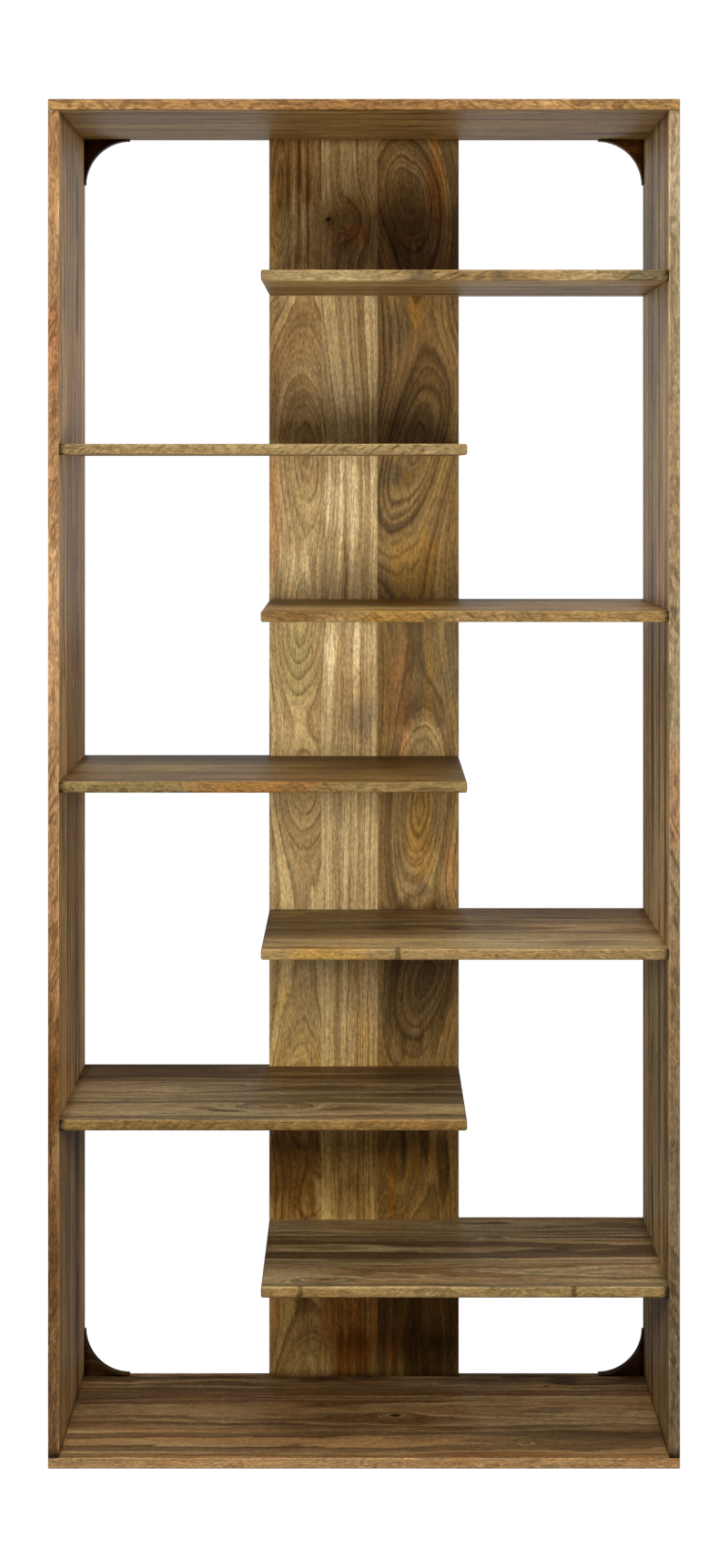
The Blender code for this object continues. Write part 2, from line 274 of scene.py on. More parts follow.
def make_figure_group():
    """A hill in the ring field: its level lines are the nested ovals, arches and Us of
    flat-sawn wood. Its ends are pointed where the hill is steep."""
    floats = (*FORM_FLOATS, "Lean", "Rings")
    tree, net, value, out = new_group("wood_figure", floats, {"Rings": "Float"})
    along = net.math("SUBTRACT", value["Along"], value["Middle Along"])
    middle = net.math("MULTIPLY_ADD", along, value["Lean"], value["Middle Across"])
    across = net.math("SUBTRACT", value["Across"], middle)
    long_way = net.square(net.math("DIVIDE", along, value["Half Along"]))
    short_way = net.square(net.math("DIVIDE", across, value["Half Across"]))
    height = net.math("EXPONENT", net.times(net.sum(long_way, short_way), -1.0))
    net.feed(out["Rings"], net.times(height, value["Rings"]))
    return tree


def make_patch_group():
    """Share of a long soft-edged patch, streaked at its edge as stained wood is."""
    floats = (*FORM_FLOATS, "Waver")
    tree, net, value, out = new_group("wood_patch", floats, {"Share": "Float"})
    squares = []
    for way in ("Across", "Along"):
        offset = net.math("SUBTRACT", value[way], value["Middle " + way])
        squares.append(net.square(net.math("DIVIDE", offset, value["Half " + way])))
    distance = net.sum(*squares, value["Waver"])
    net.feed(out["Share"], net.ramp(distance, *SPANS["patch"], smooth=True))
    return tree


def ring_line(net, ring):
    """Late wood: it darkens slowly through the ring and ends sharply."""
    part = net.math("FRACT", ring)
    rise = net.ramp(part, *SPANS["late wood"], smooth=True)
    return net.times(rise, net.ramp(part, *SPANS["ring end"]))


WOOD_FLOATS = (
    "Along", "Across", "Through", "Rings", "Seed", "Heart Across", "Heart Depth", "Ring Width",
    "Tone", "Edge", "Curl", "Line", "Stripe", "Shadow", "Warmth", "Slant", "Strokes",
)
WOOD_COLOURS = ("Pale", "Brown", "Dark", "Warm")


def make_wood_group():
    """Colour, roughness and relief of mango wood at a point of one stave."""
    outputs = {"Color": "Color", "Roughness": "Float", "Relief": "Float"}
    tree, net, value, out = new_group("mango_wood", WOOD_FLOATS, outputs, WOOD_COLOURS)
    seed = value["Seed"]
    edge = value["Edge"]
    shift = net.times(seed, SEED_SHIFT)
    through = net.sum(value["Through"], shift)
    along = net.sum(value["Along"], shift)
    point = net.vector(net.sum(value["Across"], shift), through, along)

    def span(name, number, smooth=False):
        return net.ramp(number, *SPANS[name], smooth=smooth)

    def grain(name, place=point):
        return net.grain_noise(place, *NOISES[name])

    # Distance from the heart, in rings, bent by broad, middle and small waves
    sideways = net.math("SUBTRACT", value["Across"], value["Heart Across"])
    down = net.math("SUBTRACT", value["Through"], value["Heart Depth"])
    distance = net.math("SQRT", net.sum(net.square(sideways), net.square(down)))
    waves = net.sum(*[
        span(name, grain(name)) for name in ("broad wave", "middle wave", "small wave")
    ])
    ring = net.sum(
        net.math("DIVIDE", distance, value["Ring Width"]), value["Rings"],
        net.times(waves, value["Curl"]), net.times(span("edge wave", grain("edge wave")), edge),
    )

    # Bands of rings, dark late wood at each ring's end, and stripes that follow them
    band = {}
    for name, (rate, seed_share, detail) in BANDS.items():
        start = net.times(seed, seed_share)
        band[name] = net.line_noise(net.math("MULTIPLY_ADD", ring, rate, start), detail)
    late = net.times(ring_line(net, ring), span("breaks", grain("breaks")))
    fine_line = ring_line(net, net.math("MULTIPLY_ADD", ring, FINE_LINES, FINE_LINE_START))
    late = net.math("MINIMUM", net.math("MULTIPLY_ADD", fine_line, FINE_LINE_SHARE, late), 1.0)
    ring_point = net.vector(net.math("MULTIPLY_ADD", ring, RING_SHIFT, shift), through, along)
    stripe = grain("stripe", ring_point)
    broad_stripe = grain("broad stripe", ring_point)
    fibre = grain("fibre")
    speckle = grain("speckle")
    pore = span("pore", grain("pore"))

    # From pale to brown, more evenly on a front edge
    strength = span("bands on an edge", edge)
    bands = net.sum(span("wide band", band["wide"]), span("slim band", band["slim"]))
    stripes = net.sum(span("stripe", stripe), span("broad stripe", broad_stripe))
    stripe_strength = net.times(value["Stripe"], span("stripes on an edge", edge))
    depth = net.sum(
        value["Tone"], net.times(bands, strength), net.times(stripes, stripe_strength),
        span("blotch", grain("blotch")),
    )
    share = net.math("MINIMUM", net.math("MAXIMUM", depth, 0.0), 1.0)
    colour = net.blend(share, value["Pale"], value["Brown"])
    warmth = net.times(span("warm place", grain("warm place")), value["Warmth"])
    colour = net.blend(warmth, colour, value["Warm"])
    dark_band = net.math("MULTIPLY_ADD", stripe, BAND_STRIPES, band["dark"])
    shadow = net.times(span("dark band", dark_band, smooth=True), value["Shadow"])
    colour = net.blend(net.times(shadow, strength), colour, value["Dark"])
    colour = net.blend(net.times(net.times(late, value["Line"]), strength), colour, value["Dark"])

    # Short slanting strokes, where a front edge cuts the fibres
    slant_back = net.times(value["Slant"], -1.0)
    aside = net.math("MULTIPLY_ADD", value["Along"], slant_back, value["Through"])
    ahead = net.math("MULTIPLY_ADD", value["Through"], value["Slant"], value["Along"])
    stroke_point = net.vector(
        net.times(aside, STROKES_ACROSS), net.times(ahead, STROKES_ALONG), seed
    )
    stroke = span("stroke", net.noise(stroke_point, 1.0, 1.0))
    stroke = net.times(stroke, span("stroke place", grain("stroke place")))
    stroke = net.times(net.times(stroke, edge), value["Strokes"])
    stroke_colour = net.blend(STROKE_DARKNESS, value["Brown"], value["Dark"])
    colour = net.blend(stroke, colour, stroke_colour)

    # Fibres, specks and open pores
    grey = net.sum(span("fibre", fibre), span("speckle", speckle), 1.0)
    colour = net.tinted(colour, net.vector(grey, grey, grey))
    net.feed(out["Color"], net.blend(net.times(pore, PORE_DARKNESS), colour, value["Dark"]))
    rough = net.sum(span("roughness", fibre), net.times(pore, PORE_ROUGHNESS))
    net.feed(out["Roughness"], rough)
    heights = {"fibre": fibre, "speckle": speckle, "pore": pore, "late wood": late}
    net.feed(out["Relief"], net.sum(*[
        net.times(height, RELIEF[name]) for name, height in heights.items()
    ]))
    return tree


# Colours of the wood, as linear light, and the tints of its patches

PALE = (0.56, 0.395, 0.170, 1.0)
BROWN = (0.21, 0.118, 0.042, 1.0)
DARK = (0.055, 0.030, 0.012, 1.0)
WARM = (0.42, 0.180, 0.040, 1.0)
GREY_PALE = (0.30, 0.185, 0.082, 1.0)
GREY_BROWN = (0.115, 0.066, 0.029, 1.0)
GREY_DARK = (0.045, 0.026, 0.011, 1.0)
GOLD = (0.40, 0.210, 0.044, 1.0)
STAVE_PALE = (0.60, 0.43, 0.170, 1.0)
STAVE_BROWN = (0.28, 0.160, 0.050, 1.0)

TINTS = {
    "cream": (1.32, 1.38, 1.50, 1.0),
    "gold": (1.20, 1.08, 0.70, 1.0),
    "orange": (1.22, 0.90, 0.60, 1.0),
    "rose": (1.10, 0.92, 0.87, 1.0),
    "umber": (0.54, 0.43, 0.28, 1.0),
    "grey": (0.62, 0.66, 0.76, 1.0),
    "olive": (0.88, 0.94, 0.84, 1.0),
    "tan": (0.88, 0.82, 0.78, 1.0),
    "amber": (1.12, 1.02, 0.72, 1.0),
    "pale": (1.15, 1.17, 1.20, 1.0),
    "brown": (0.72, 0.66, 0.56, 1.0),
    "dark": (0.42, 0.39, 0.36, 1.0),
    "knot": (0.16, 0.11, 0.09, 1.0),
}


class Wood:
    """How one board's timber looks. Its places and lengths are millimetres, in the frame.

    joints are the glue lines between its staves, from low to high; tones, seeds and hearts
    have one entry for each stave. tint shades the whole board but for its front edge, which
    edge_tint shades."""

    grain = X
    across = Y
    through = Z
    joints = ()
    tones = (0.5,)
    heart_depth = -60
    ring_width = 8.5
    curl = 1.0
    line = 0.52
    stripe = 0.95
    shadow = 0.60
    warmth = 0.35
    pale = PALE
    brown = BROWN
    dark = DARK
    warm = WARM
    slant = 1.0
    strokes = 0.0

    def __init__(self, **looks):
        for name, look in looks.items():
            setattr(self, name, look)


# The timber of each board: case, back panel, shelves and gussets

CASE_WOODS = {
    "top_board": Wood(
        joints=(-62, 48, 120), tones=(0.45, 0.30, 0.60, 0.35), seeds=(1.0, 2.4, 3.1, 3.9),
        hearts=(-130, 0, 90, 150), tint=(0.66, 0.58, 0.43), edge_tint=(0.82, 0.65, 0.54),
        slant=-0.9, strokes=0.4,
    ),
    "bottom_board": Wood(
        joints=(-52, 75), tones=(0.34, 0.65, 0.75), seeds=(4.2, 5.5, 6.1),
        hearts=(-110, 10, 150), tint=(1.03, 0.97, 0.97), edge_tint=(1.64, 1.45, 1.50),
        slant=0.5, strokes=0.35,
    ),
    "left_side": Wood(
        grain=Z, through=X, joints=(-85, 20, 105), tones=(0.45, 0.65, 0.45, 0.20),
        seeds=(7.3, 8.2, 9.4, 9.9), hearts=(-120, 0, 60, 140), heart_depth=-400, stripe=1.0,
        tint=(1.34, 1.25, 1.30), edge_tint=(0.90, 0.75, 0.77), slant=0.45, strokes=0.75,
    ),
    "right_side": Wood(
        grain=Z, through=X, joints=(-90, -10, 95), tones=(0.50, 0.30, 0.65, 0.35),
        seeds=(10.3, 11.2, 12.7, 12.9), hearts=(-130, -50, 40, 120), heart_depth=400, stripe=1.0,
        tint=(1.25, 1.25, 1.35), edge_tint=(0.75, 0.81, 1.03), slant=-0.40, strokes=0.75,
    ),
}

STAVE_WOODS = {
    "back_stave_left": Wood(
        grain=Z, across=X, through=Y, tones=(0.34,), seeds=(13.1,), hearts=(-97,),
        heart_depth=300, ring_width=5.0, curl=0.60, line=0.50, stripe=0.45, shadow=0.15,
        warmth=0.1, pale=STAVE_PALE, brown=STAVE_BROWN, tint=(1.03, 1.01, 1.09),
    ),
    "back_stave_middle": Wood(
        grain=Z, across=X, through=Y, tones=(0.26,), seeds=(14.9,), hearts=(-270,),
        heart_depth=190, curl=0.7, line=0.34, stripe=0.80, shadow=0.25,
        warmth=0.2, pale=STAVE_PALE, brown=STAVE_BROWN, tint=(1.04, 1.05, 1.20),
    ),
    "back_stave_right": Wood(
        grain=Z, across=X, through=Y, tones=(0.50,), seeds=(16.4,), hearts=(78,),
        heart_depth=280, ring_width=5.5, curl=0.70, line=0.48, stripe=0.6, shadow=0.18,
        warmth=0.18, pale=GREY_PALE, brown=GREY_BROWN, dark=GREY_DARK, warm=GOLD,
        tint=(1.24, 1.24, 0.98),
    ),
}

SHELF_WOODS = {
    "right_shelf_top": Wood(
        joints=(-60, 50), tones=(0.30, 0.50, 0.50), seeds=(21.0, 22.3, 23.8),
        hearts=(-120, 0, 110), tint=(0.97, 0.93, 0.80), edge_tint=(0.57, 0.58, 0.57),
        slant=0.5, strokes=0.85,
    ),
    "left_shelf_upper": Wood(
        joints=(-50, 60), tones=(0.30, 0.50, 0.50), seeds=(24.1, 25.9, 26.2),
        hearts=(-100, 10, 130), tint=(0.84, 0.80, 0.68), edge_tint=(0.63, 0.625, 0.61),
        slant=0.75, strokes=0.9,
    ),
    "right_shelf_upper": Wood(
        joints=(-60, 50), tones=(0.35, 0.50, 0.65), seeds=(27.7, 28.4, 29.6),
        hearts=(-130, 0, 120), tint=(0.98, 0.93, 0.77), edge_tint=(0.58, 0.51, 0.41),
        slant=-0.8, strokes=0.6,
    ),
    "left_shelf_middle": Wood(
        joints=(-65, 55), tones=(0.40, 0.55, 0.70), seeds=(31.3, 32.8, 33.5),
        hearts=(-110, 0, 140), tint=(0.785, 0.755, 0.57), edge_tint=(0.53, 0.545, 0.49),
        slant=-1.0, strokes=0.7,
    ),
    "right_shelf_lower": Wood(
        joints=(-55, 50), tones=(0.30, 0.60, 0.65), seeds=(34.6, 35.2, 36.9),
        hearts=(-120, 0, 120), tint=(0.90, 0.91, 0.91), edge_tint=(0.69, 0.65, 0.59),
        slant=-0.45, strokes=0.6,
    ),
    "left_shelf_lower": Wood(
        joints=(-60, 60), tones=(0.40, 0.60, 0.70), seeds=(37.4, 38.1, 39.5),
        hearts=(-110, 10, 130), tint=(0.755, 0.765, 0.82), edge_tint=(0.68, 0.60, 0.42),
        slant=0.9, strokes=0.5,
    ),
    "right_shelf_bottom": Wood(
        joints=(-64, 53), tones=(0.30, 0.72, 0.50), seeds=(41.6, 42.2, 43.9),
        hearts=(-100, 0, 130), tint=(0.93, 0.97, 1.07), edge_tint=(0.94, 0.90, 0.79),
        strokes=0.3,
    ),
}

# Each gusset: seed, heart, tint. The tints darken each gusset past the wood's tone with painted
# shade of its rear corner, the top left one most
GUSSETS = {
    "gusset_top_left": (51.3, 1800, (0.035, 0.008, 0.002)),
    "gusset_top_right": (52.9, 1800, (0.24, 0.138, 0.037)),
    "gusset_bottom_left": (53.4, 150, (0.23, 0.18, 0.16)),
    "gusset_bottom_right": (54.6, 150, (0.22, 0.145, 0.095)),
}

# Each figure: across, along, half width across, half width along, lean, rings
FIGURES = {
    "bottom_board": (
        (-7, 47, 9, 22, 0, 3),
        (-119, 234, 8, 20, 0, 2),
    ),
    "back_stave_left": (
        (-128, 1860, 22, 140, 0, 5),
        (-90, 1440, 60, 160, -0.05, -8),
        (-100, 1175, 52, 120, 0.05, -6),
        (-90, 930, 50, 85, 0, -4),
        (-102, 440, 50, 100, 0, -4),
        (-60, 300, 60, 80, 0.5, -4),
        (-90, 20, 60, 90, 0.5, -3),
    ),
    "back_stave_middle": (
        (-53, 1808, 7, 10, 0, 3),
        (-12, 1806, 26, 38, 0, -4.5),
        (-75, 1420, 70, 200, 0, -5),
    ),
    "back_stave_right": (
        (50, 1860, 85, 110, -0.3, -6),
        (82, 1740, 60, 200, 0, -3.5),
        (72, 1440, 70, 190, 0.45, -8),
        (89, 900, 45, 125, 0.1, -7),
        (105, 640, 45, 90, 0.35, -5),
        (60, 360, 30, 100, 0, 4),
    ),
    "left_shelf_lower": (
        (-98, -132, 16, 50, 0, 5),
    ),
    "right_shelf_bottom": (
        (-140, -57.5, 11, 40, 0, 4),
        (64, 197, 9, 26, 0, 2),
    ),
}

# Each patch: tint, across, along, half width across, half width along
PATCHES = {
    "top_board": (
        ("brown", -175, 0, 20, 160),
        ("olive", -175, 400, 20, 40),
    ),
    "bottom_board": (
        ("tan", -112, 0, 60, 700),
        ("tan", 50, 0, 120, 240),
        ("knot", -7, 47, 6, 9),
        ("orange", -18, 81, 6, 12),
        ("brown", -119, 234, 5, 10),
        ("knot", 116, 279, 3, 6),
    ),
    "left_side": (
        ("brown", -130, 1000, 38, 1600),
        ("brown", -60, 1250, 13, 900),
        ("brown", 35, 850, 12, 800),
        ("pale", -10, 1000, 14, 1600),
        ("pale", 150, 1000, 25, 1600),
        ("cream", -178, 1780, 10, 70),
        ("rose", -178, 1600, 10, 60),
        ("cream", -178, 1200, 10, 200),
        ("umber", -178, 560, 10, 110),
        ("brown", -178, 280, 10, 200),
    ),
    "right_side": (
        ("brown", -140, 1000, 22, 1600),
        ("brown", -55, 1150, 14, 800),
        ("brown", 40, 1400, 12, 500),
        ("brown", 40, 500, 12, 400),
        ("pale", 0, 1000, 16, 1600),
        ("tan", 0, 1270, 150, 250),
        ("cream", -178, 1850, 10, 80),
        ("rose", -178, 960, 10, 70),
        ("tan", -178, 400, 10, 400),
    ),
    "back_stave_left": (
        ("amber", -105, 150, 200, 400),
        ("umber", -105, 1915, 48, 105),
        ("gold", -139, 1800, 8, 80),
        ("dark", -87, 1820, 2.5, 130),
        ("cream", -94, 1820, 3, 130),
        ("dark", -101, 1840, 2.5, 110),
        ("cream", -109, 1800, 2.5, 110),
        ("brown", -117, 1820, 3, 130),
        ("cream", -100, 1715, 40, 35),
        ("tan", -105, 1600, 50, 100),
        ("tan", -138, 1590, 10, 120),
        ("pale", -78, 1590, 13, 120),
        ("brown", -100, 1470, 50, 25),
        ("rose", -141, 1350, 10, 100),
        ("pale", -78, 1340, 13, 110),
        ("pale", -104, 1340, 46, 100),
        ("cream", -104, 1240, 45, 60),
        ("pale", -104, 1120, 46, 170),
        ("pale", -104, 1030, 46, 60),
        ("olive", -102, 1120, 26, 60),
        ("pale", -104, 790, 45, 50),
        ("umber", -110, 345, 55, 85),
        ("tan", -105, 280, 50, 40),
        ("cream", -105, 110, 44, 60),
        ("cream", -76, 90, 12, 70),
        ("rose", -139, 130, 9, 60),
    ),
    "back_stave_middle": (
        ("amber", -22, 150, 200, 400),
        ("brown", -22, 1860, 50, 110),
        ("brown", -14, 1790, 40, 60),
        ("pale", -22, 1530, 50, 60),
        ("cream", -22, 1375, 46, 60),
        ("cream", -22, 1150, 46, 45),
        ("pale", -22, 820, 46, 90),
        ("orange", -12, 1787, 18, 16),
        ("knot", -55.5, 1809.5, 4.5, 3),
        ("pale", 8, 1590, 12, 120),
        ("pale", 8, 330, 12, 60),
        ("cream", -54, 1380, 6, 110),
        ("cream", -37, 1340, 4, 120),
        ("cream", -22, 1360, 6, 120),
        ("cream", 12, 1360, 5, 110),
        ("brown", -29, 1350, 3, 120),
        ("brown", -4, 1350, 4, 120),
        ("cream", -52, 1130, 8, 90),
        ("cream", -13, 1130, 6, 100),
        ("grey", -4, 1035, 22, 34),
        ("brown", -22, 345, 50, 50),
        ("brown", -12, 290, 45, 35),
        ("orange", -22, 100, 50, 80),
        ("umber", -12, 40, 45, 50),
    ),
    "back_stave_right": (
        ("amber", 80, 150, 200, 400),
        ("brown", 66, 1815, 40, 70),
        ("orange", 112, 1860, 18, 80),
        ("tan", 80, 1640, 70, 150),
        ("gold", 82, 1675, 14, 30),
        ("grey", 50, 1640, 22, 45),
        ("gold", 66, 1410, 10, 14),
        ("grey", 50, 1415, 26, 22),
        ("pale", 80, 1150, 70, 140),
        ("gold", 80, 1270, 45, 50),
        ("rose", 58, 1060, 22, 90),
        ("gold", 102, 1090, 6, 70),
        ("cream", 84, 1000, 55, 30),
        ("grey", 136, 1130, 12, 70),
        ("brown", 30, 1080, 12, 120),
        ("pale", 120, 1080, 26, 100),
        ("gold", 88, 860, 22, 70),
        ("cream", 90, 790, 50, 40),
        ("grey", 92, 770, 14, 12),
        ("rose", 134, 800, 11, 60),
        ("pale", 134, 830, 14, 90),
        ("dark", 80, 720, 60, 35),
        ("grey", 80, 610, 64, 90),
        ("brown", 80, 610, 64, 90),
        ("tan", 134, 580, 12, 80),
        ("orange", 44, 310, 6, 50),
        ("dark", 60, 365, 5, 45),
        ("gold", 71, 350, 3, 30),
        ("gold", 83, 330, 6, 45),
        ("dark", 95, 380, 7, 40),
        ("gold", 103, 345, 3, 30),
        ("dark", 122, 350, 10, 60),
        ("orange", 44, 56, 10, 30),
        ("dark", 102, 40, 45, 60),
    ),
    "right_shelf_top": (
        ("cream", -175, -30, 20, 80),
        ("grey", -175, 78, 20, 22),
        ("grey", -175, 194, 20, 15),
        ("cream", -175, 290, 20, 60),
        ("grey", -175, 402, 20, 26),
    ),
    "right_shelf_upper": (
        ("brown", -175, -100, 20, 50),
        ("gold", -175, 40, 20, 50),
    ),
    "left_shelf_middle": (
        ("orange", -175, -160, 20, 100),
    ),
    "right_shelf_lower": (
        ("gold", -175, -50, 20, 60),
        ("dark", -175, 48, 20, 4),
    ),
    "left_shelf_lower": (
        ("brown", -98, -132, 8, 16),
    ),
    "right_shelf_bottom": (
        ("knot", -140, -57.5, 3.5, 10),
        ("brown", -140, -57.5, 10, 30),
        ("dark", 64, 197, 6, 14),
        ("dark", -175, -91, 6, 5),
        ("dark", -175, 299, 6, 4),
    ),
}

SATIN_SPECULAR = 0.15
END_GRAIN_SHADE = (0.62, 0.62, 0.62, 1.0)
# Painted highlight: the rounded arrises are made 12 percent lighter, as if they caught the light
ARRIS_HIGHLIGHT = (1.12, 1.12, 1.12, 1.0)
RELIEF_DEPTH = 0.35 * MILLIMETRE
RELIEF_STRENGTH = 0.35
SEAM_HALF_WIDTH = 0.5 * MILLIMETRE
SEAM_DARKNESS = 0.5


def by_stave(net, place, joints, values):
    """The value of the stave that a place across the board is in."""
    chosen = values[0]
    for joint, value in zip(joints, values[1:]):
        beyond = net.math("GREATER_THAN", place, joint)
        chosen = net.add("ShaderNodeMix", {0: beyond, 2: chosen, 3: value}).outputs[0]
    return chosen


def wood_material(node, wood, groups, underside=0.0):
    """Material of one board: its staves, its figures, its joints and its arrises. A lying
    board's hearts are counted down from its underside."""
    material, net, shader = new_material(node + "_mango")
    place = net.add("ShaderNodeTexCoord").outputs
    parts = net.add("ShaderNodeSeparateXYZ", {0: place["Object"]}).outputs
    facing = net.add("ShaderNodeSeparateXYZ", {0: place["Normal"]}).outputs
    along = parts[wood.grain]
    across = parts[wood.across]
    through = parts[wood.through]
    joints = metres(wood.joints)

    rings = 0.0
    for figure in FIGURES.get(node, ()):
        form = (across, along, *metres(figure[:4]), *figure[4:])
        rings = net.math("ADD", rings, net.group(groups["figure"], form)[0])
    front_edge = 0.0
    if wood.through != Y:
        front_edge = net.ramp(facing[Y], *SPANS["facing front"])
    values = {
        "Along": along, "Across": across, "Through": through, "Rings": rings,
        "Seed": by_stave(net, across, joints, wood.seeds),
        "Heart Across": by_stave(net, across, joints, metres(wood.hearts)),
        "Tone": by_stave(net, across, joints, wood.tones),
        "Heart Depth": underside + wood.heart_depth * MILLIMETRE,
        "Ring Width": wood.ring_width * MILLIMETRE, "Edge": front_edge,
    }
    for look in ("Curl", "Line", "Stripe", "Shadow", "Warmth", "Slant", "Strokes", *WOOD_COLOURS):
        values[look] = getattr(wood, look.lower())
    timber = net.group(groups["wood"], values)
    colour = net.tinted(timber["Color"], (*wood.tint, 1.0))
    if wood.through != Y:
        edge_colour = net.tinted(timber["Color"], (*wood.edge_tint, 1.0))
        colour = net.blend(front_edge, colour, edge_colour)

    patches = PATCHES.get(node, ())
    if patches:
        point = net.vector(across, through, along)
        waver = net.ramp(net.grain_noise(point, *WAVER_NOISE, wood.seeds[0]), *SPANS["waver"])
    for tint, *form in patches:
        share = net.group(groups["patch"], (across, along, *metres(form), waver))[0]
        colour = net.blend(share, colour, net.tinted(colour, TINTS[tint]))

    for joint in joints:
        away = net.math("ABSOLUTE", net.math("SUBTRACT", across, joint))
        seam = net.ramp(away, 0.0, SEAM_HALF_WIDTH, SEAM_DARKNESS, 0.0)
        colour = net.blend(seam, colour, wood.dark)
    end = net.ramp(net.math("ABSOLUTE", facing[wood.grain]), *SPANS["facing end"])
    colour = net.blend(end, colour, net.tinted(colour, END_GRAIN_SHADE))
    # The arrises marked in wear() get the painted highlight
    arris = net.add("ShaderNodeAttribute", attribute_name="arris").outputs["Fac"]
    colour = net.blend(arris, colour, net.tinted(colour, ARRIS_HIGHLIGHT))
    net.feed(shader["Base Color"], colour)
    shader["Specular IOR Level"].default_value = SATIN_SPECULAR
    net.feed(shader["Roughness"], timber["Roughness"])
    net.feed(shader["Normal"], net.bump(RELIEF_STRENGTH, RELIEF_DEPTH, timber["Relief"]))
    return material


# Boards: solids cut at stations along the grain, with rounded arrises that waver as sanded ones do

STATION_SPACING = 14 * MILLIMETRE
ARRIS_STEPS = 4
ROUND_PROFILE = 0.5
SEAT_GAP = 0.3 * MILLIMETRE
CASE_EASING = 2.0 * MILLIMETRE
SHELF_EASING = 3.2 * MILLIMETRE
STAVE_EASING = 1.0 * MILLIMETRE
GUSSET_EASING = 0.5 * MILLIMETRE
FLATNESS = 0.12 * MILLIMETRE
FLATNESS_WAVES = 5.0
WEAR = 0.45 * MILLIMETRE
WEAR_WAVES = 23.0
WEAR_SHIFT = (3.7, 1.9, 2.3)
SHARP_ANGLE = math.radians(50)
SQUARE = 0.999
SEATED = 0.01 * MILLIMETRE
GLUE_REACH = SEAT_GAP + FLATNESS
SHADING_WEIGHT = 60


def join_rings(shape, rings):
    """Adds the faces between each ring of vertices and the next."""
    for lower, upper in zip(rings, rings[1:]):
        for i in range(len(lower)):
            j = (i + 1) % len(lower)
            shape.faces.new((lower[i], lower[j], upper[j], upper[i]))


def rectangle(low, high):
    return [(low[0], low[1]), (high[0], low[1]), (high[0], high[1]), (low[0], high[1])]


def prism(outline, axis, ends):
    """Closed solid: an outline, given in the other two directions, pushed along an axis."""
    shape = bmesh.new()
    rings = []
    for end in ends:
        places = [list(point) for point in outline]
        for place in places:
            place.insert(axis, end)
        rings.append([shape.verts.new(place) for place in places])
    shape.faces.new(rings[0])
    shape.faces.new(rings[1])
    join_rings(shape, rings)
    bmesh.ops.recalc_face_normals(shape, faces=shape.faces)
    return shape


def cut_stations(shape, axis, low, high):
    """Cuts the solid across the grain at even steps."""
    count = max(2, round((high - low) / STATION_SPACING))
    normal = Vector((0.0, 0.0, 0.0))
    normal[axis] = 1.0
    for i in range(1, count):
        where = normal * (low + (high - low) * i / count)
        geometry = shape.verts[:] + shape.edges[:] + shape.faces[:]
        bmesh.ops.bisect_plane(shape, geom=geometry, plane_co=where, plane_no=normal)


def in_seat(edge, seats):
    """True where the edge lies in one of the planes that touch another board."""
    for axis, value in seats:
        if all(abs(v.co[axis] - value) < SEATED for v in edge.verts):
            return True
    return False


def round_arrises(shape, easing, seats):
    """Rounds the free arrises, and leaves those at a glued joint sharp."""
    sharp = [e for e in shape.edges if e.is_manifold and e.calc_face_angle() > SHARP_ANGLE]
    free = [e for e in sharp if not in_seat(e, seats)]
    bmesh.ops.bevel(shape, geom=free, offset=easing, segments=ARRIS_STEPS,
                    profile=ROUND_PROFILE, affect="EDGES")
    shape.normal_update()


def inside_rounding(vertex):
    """True for a vertex none of whose faces lies square to an axis."""
    return all(max(abs(part) for part in face.normal) <= SQUARE for face in vertex.link_faces)


def wear(shape, seed, seats):
    """Moves the skin inwards a little, more along the arrises, and marks the arrises. A
    vertex in a seat stays in its plane."""
    layer = shape.verts.layers.float.new("arris")
    shift = Vector([seed * step for step in WEAR_SHIFT])
    moves = []
    for vertex in shape.verts:
        low = noise.noise(vertex.co * FLATNESS_WAVES + shift)
        inward = FLATNESS * (0.5 + 0.5 * low)
        if inside_rounding(vertex):
            vertex[layer] = 1.0
            inward += WEAR * max(0.0, noise.noise(vertex.co * WEAR_WAVES + shift))
        move = vertex.normal * -inward
        for axis, value in seats:
            if abs(vertex.co[axis] - value) < SEATED:
                move[axis] = 0.0
        moves.append(move)
    for vertex, move in zip(shape.verts, moves):
        vertex.co += move


BORE_SIDES = 24
BORE_ROOM = 0.15 * MILLIMETRE
HEAD_DEPTH = 2.0 * MILLIMETRE
SHANK_SHARE = 0.5
CLEAR = 0.5 * MILLIMETRE


def add_tube(shape, axis, centre, stations):
    """Adds a closed round body along an axis, through (place, radius) stations."""
    rings = []
    for place, radius in stations:
        ring = []
        for i in range(BORE_SIDES):
            turn = math.tau * i / BORE_SIDES
            point = [radius * math.cos(turn), radius * math.sin(turn)]
            point.insert(axis, place - centre[axis])
            ring.append(shape.verts.new(centre + Vector(point)))
        rings.append(ring)
    shape.faces.new(rings[0])
    shape.faces.new(rings[-1])
    join_rings(shape, rings)


def overlaps(first, second):
    return all(first[0][i] < second[1][i] and second[0][i] < first[1][i] for i in range(3))


def bore(shape, node):
    """Bores the board for the dowels and screws of the frame that pass into it."""
    own_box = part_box(node)
    drill = bmesh.new()
    for name in sorted(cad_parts):
        if not name.startswith(("dowel_", "screw_")) or not overlaps(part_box(name), own_box):
            continue
        low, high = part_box(name)
        size = high - low
        axis = max(range(3), key=lambda i: size[i])
        radius = max(size[i] for i in range(3) if i != axis) / 2 + BORE_ROOM
        stations = [(low[axis] - BORE_ROOM, radius), (high[axis] + BORE_ROOM, radius)]
        if name.startswith("screw_"):
            shank = radius * SHANK_SHARE
            neck = high[axis] - HEAD_DEPTH
            stations = [(low[axis], shank), (neck, shank), (high[axis], radius),
                        (high[axis] + CLEAR, radius)]
        add_tube(drill, axis, (low + high) / 2, stations)
    if drill.verts:
        bmesh.ops.recalc_face_normals(drill, faces=drill.faces)
        cut_away(shape, drill)
    drill.free()


